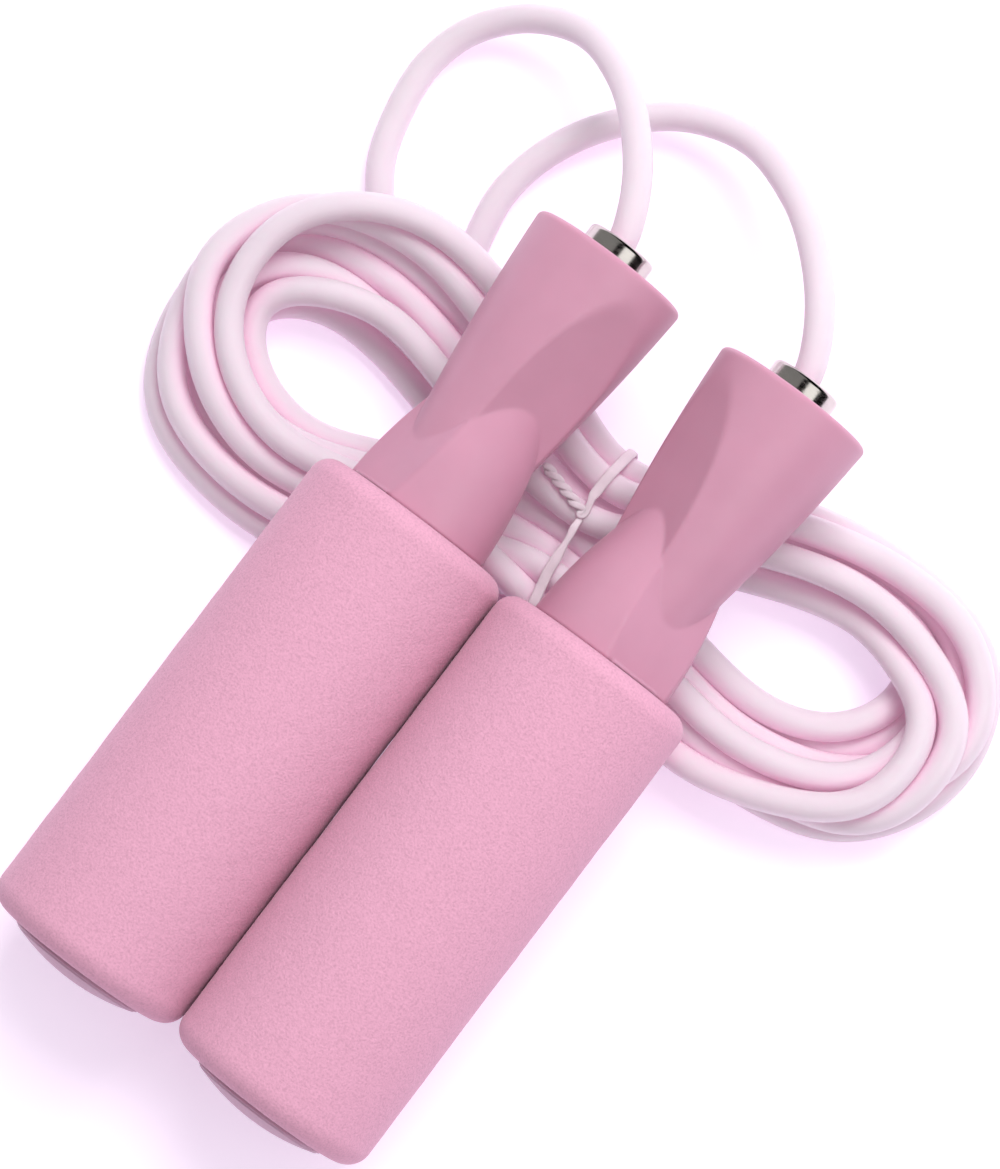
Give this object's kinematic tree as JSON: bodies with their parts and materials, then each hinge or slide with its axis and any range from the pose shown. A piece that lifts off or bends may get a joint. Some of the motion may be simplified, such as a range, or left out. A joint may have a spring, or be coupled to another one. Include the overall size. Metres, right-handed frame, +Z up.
{
  "type": "jump rope",
  "caption": "Jump rope put away: two foam-gripped bearing handles lying side by side across a tied hank of smooth plastic rope.",
  "frame": {"origin": "on the table, under the middle of the pair of handles", "axes": "+Z up, +Y along the handles from the end caps towards the rope, +X from the left handle to the right handle"},
  "size_m": [0.1545, 0.1815, 0.0446],
  "materials": {
    "handle_plastic": "satin moulded plastic, dusty pink",
    "cap_plastic": "satin moulded plastic, greyer pink",
    "grip_foam": "fine closed-cell foam rubber, pink",
    "rope_pvc": "smooth soft plastic, pale pink",
    "nickel": "polished nickel plate",
    "steel": "bright steel",
    "cage_nylon": "natural nylon",
    "tie": "white plastic-coated wire"
  },
  "bodies": {
    "rope": {"rope_hank": "rope_pvc", "left_rope_lead": "rope_pvc", "right_rope_lead": "rope_pvc", "twist_tie_loop": "tie", "twist_tie_tail": "tie", "left_bearing_inner_ring": "nickel", "left_stop_washer": "steel", "left_rope_ferrule": "steel", "right_bearing_inner_ring": "nickel", "right_stop_washer": "steel", "right_rope_ferrule": "steel"},
    "left_handle": {"left_handle_body": "handle_plastic", "left_foam_grip": "grip_foam", "left_bearing_outer_race": "nickel"},
    "left_bearing_balls": {"left_ball_cage": "cage_nylon", "left_ball_1": "steel", "left_ball_2": "steel", "left_ball_3": "steel", "left_ball_4": "steel", "left_ball_5": "steel", "left_ball_6": "steel", "left_ball_7": "steel"},
    "left_cap": {"left_end_cap": "cap_plastic"},
    "right_handle": {"right_handle_body": "handle_plastic", "right_foam_grip": "grip_foam", "right_bearing_outer_race": "nickel"},
    "right_bearing_balls": {"right_ball_cage": "cage_nylon", "right_ball_1": "steel", "right_ball_2": "steel", "right_ball_3": "steel", "right_ball_4": "steel", "right_ball_5": "steel", "right_ball_6": "steel", "right_ball_7": "steel"},
    "right_cap": {"right_end_cap": "cap_plastic"}
  },
  "joints": [
    {"name": "left_handle_spin", "type": "hinge", "parent": "rope", "child": "left_handle", "pos_m": [-0.0187, 0.06992, 0.03046], "axis": [0, 0.9962, 0.0872], "continuous": true},
    {"name": "left_ball_orbit", "type": "hinge", "parent": "rope", "child": "left_bearing_balls", "pos_m": [-0.0187, 0.06992, 0.03046], "axis": [0, 0.9962, 0.0872], "continuous": true},
    {"name": "left_cap_pull", "type": "slide", "parent": "left_handle", "child": "left_cap", "axis": [0, -0.9962, -0.0872], "range_m": [0, 0.014]},
    {"name": "right_handle_spin", "type": "hinge", "parent": "rope", "child": "right_handle", "pos_m": [0.0187, 0.06992, 0.03046], "axis": [0, 0.9962, 0.0872], "continuous": true},
    {"name": "right_ball_orbit", "type": "hinge", "parent": "rope", "child": "right_bearing_balls", "pos_m": [0.0187, 0.06992, 0.03046], "axis": [0, 0.9962, 0.0872], "continuous": true},
    {"name": "right_cap_pull", "type": "slide", "parent": "right_handle", "child": "right_cap", "axis": [0, -0.9962, -0.0872], "range_m": [0, 0.014]}
  ],
  "couplings": [
    {"joint": "left_ball_orbit", "follows": "left_handle_spin", "ratio": 0.5745},
    {"joint": "right_ball_orbit", "follows": "right_handle_spin", "ratio": 0.5745}
  ]
}
